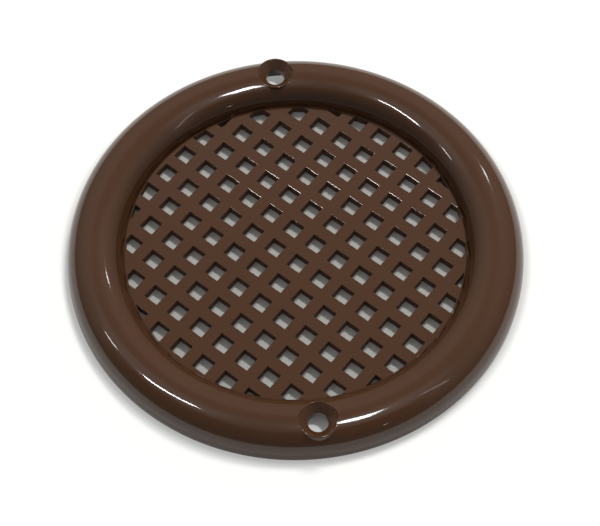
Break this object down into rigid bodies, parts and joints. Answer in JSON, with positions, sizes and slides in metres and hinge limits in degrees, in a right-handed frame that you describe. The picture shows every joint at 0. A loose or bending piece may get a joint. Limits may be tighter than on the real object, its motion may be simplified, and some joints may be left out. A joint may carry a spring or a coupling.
{
  "type": "vent cover",
  "caption": "Round vent cover with a flat grille of square holes inside a half-round rim, fixed over an air opening by countersunk screws.",
  "frame": {"origin": "centre of the wall face, on the axis of the rim", "axes": "+Z out of the visible face, away from the wall; the two screws lie on the Y axis"},
  "size_m": [0.1, 0.1, 0.007],
  "materials": {
    "brown_plastic": "glossy moulded brown plastic"
  },
  "bodies": {
    "root": {"vent_cover": "brown_plastic"}
  },
  "joints": []
}
